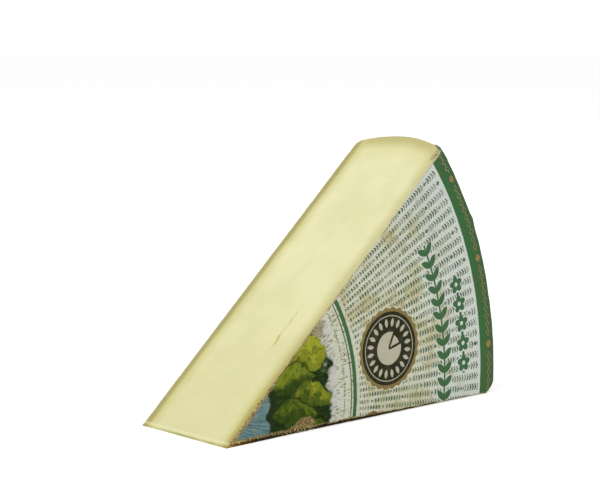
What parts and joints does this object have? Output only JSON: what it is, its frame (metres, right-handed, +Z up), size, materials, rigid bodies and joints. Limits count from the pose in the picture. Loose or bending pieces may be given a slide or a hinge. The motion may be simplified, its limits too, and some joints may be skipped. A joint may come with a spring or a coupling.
{
  "type": "comte cheese wedge",
  "caption": "Wedge of hard mountain cheese cut from a wheel, standing on its lower cut, with a printed paper label glued on one flat face and folded onto the heel.",
  "frame": {"origin": "bottom centre of the wedge's box, on the lower cut that it stands on", "axes": "+X along the lower cut from the tip to the heel, +Y along the wheel's axis from the labelled face to the bare face, +Z up"},
  "size_m": [0.3032, 0.1004, 0.2132],
  "materials": {
    "cheese_paste": "smooth firm pale yellow cheese, satin, with a thin brown crusty rind",
    "label_paper": "matte off-white printed paper with green ink"
  },
  "bodies": {
    "root": {"cheese": "cheese_paste", "label": "label_paper"}
  },
  "joints": []
}
